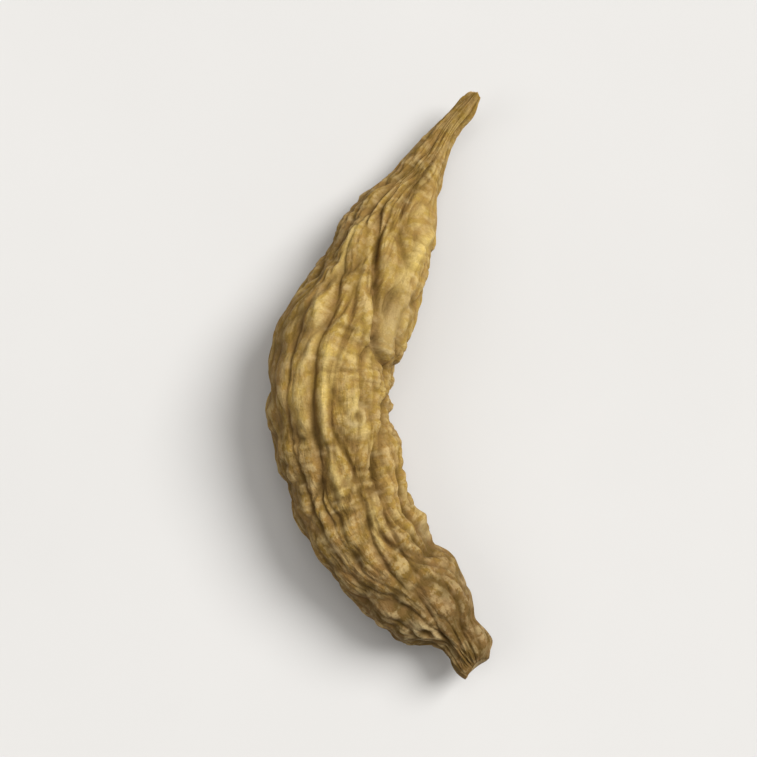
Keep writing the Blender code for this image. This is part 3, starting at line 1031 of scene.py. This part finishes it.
tints = (
    # where, how strong, colour
    (blotches["Tone"], 0.34, RUST),
    # pale flecks on ridge tops: wear with painted highlight
    (tree.math("MULTIPLY", flecks["Tone"], wear_and_painted_light), 0.36, PALE),
    # painted highlight on the drawn ridges
    (tree.mask("ridge"), 0.36, HIGHLIGHT_GOLD),
    (specks["Tone"], 0.20, SOIL_AND_SHADE),
    # painted shade in the fine creases
    (tree.mask("crease"), 0.50, SOIL_AND_SHADE),
    # painted shade in the cross creases and rings
    (tree.mask("cross"), 0.42, SOIL_AND_SHADE),
    (tree.mask("pore"), 0.30, PALE),
    (tree.mask("bare"), 0.45, TAUT),
    (tree.mask("rim"), tree.math("MULTIPLY_ADD", strands["Grain"], RIM_TINT_GRAIN, RIM_TINT), PALE),
    # painted shade in the scar dimples
    (tree.mask("scar"), 0.85, SOIL_AND_SHADE),
    (tree.mask("broken"), 0.85, tree.mix(strands["Grain"], FLESH, HEART)),
)
for where, strength, tint in tints:
    colour = tree.mix(tree.math("MULTIPLY", where, strength), colour, tint)
tree.feed(shader.inputs["Base Color"], colour)

roughness = tree.math("MULTIPLY_ADD", strands["Grain"], ROUGH_SPREAD, LEAST_ROUGH)
tree.feed(shader.inputs["Roughness"], roughness)
shader.inputs["Specular IOR Level"].default_value = SPECULAR_LEVEL
relief = tree.math("MULTIPLY", strands["Streak"], BUMP_SHARES["streak"])
relief = tree.math("MULTIPLY_ADD", strands["Grain"], BUMP_SHARES["grain"], relief)
relief = tree.math("MULTIPLY_ADD", threads["Streak"], BUMP_SHARES["threads"], relief)
bump = tree.put("ShaderNodeBump", Strength=BUMP_STRENGTH, Distance=BUMP_HEIGHT, Height=relief)
tree.feed(shader.inputs["Normal"], bump.outputs["Normal"])
skin.data.materials.append(skin_material)
print(len(tree.nodes), "nodes in", skin_material.name)

# %% [markdown]
# ## The table
#
# A pale, plain surface, only there to catch the shadow. It has a trace of uneven tone, from the
# same group that the skin uses, because a perfectly even floor looks cut out.

# %% Table
TABLE_HALF = 900 * MM
TABLE_TONES = (0.53, 0.52, 0.505, 1), (0.56, 0.55, 0.535, 1)
TABLE_ROUGHNESS = 0.75


def make_table():
    """A flat square far larger than the view."""
    corners = [(x * TABLE_HALF, y * TABLE_HALF, 0.0) for x, y in ((-1, -1), (1, -1), (1, 1), (-1, 1))]
    mesh = bpy.data.meshes.new("table")
    mesh.from_pydata(corners, [], [(0, 1, 2, 3)])
    table = bpy.data.objects.new("table", mesh)
    bpy.context.scene.collection.objects.link(table)
    return table


table = make_table()
table_material, tree, shader = new_material("pale_table")
where = tree.put("ShaderNodeTexCoord").outputs["Object"]
haze = group_in(tree, patches, Place=where, Scale=22.0, Sharpness=0.1)
tree.feed(shader.inputs["Base Color"], tree.mix(haze["Tone"], *TABLE_TONES))
shader.inputs["Roughness"].default_value = TABLE_ROUGHNESS
table.data.materials.append(table_material)
print("table", round(2 * TABLE_HALF, 1), "m wide")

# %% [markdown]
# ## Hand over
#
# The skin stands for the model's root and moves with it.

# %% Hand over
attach(skin, "root")
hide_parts("root")
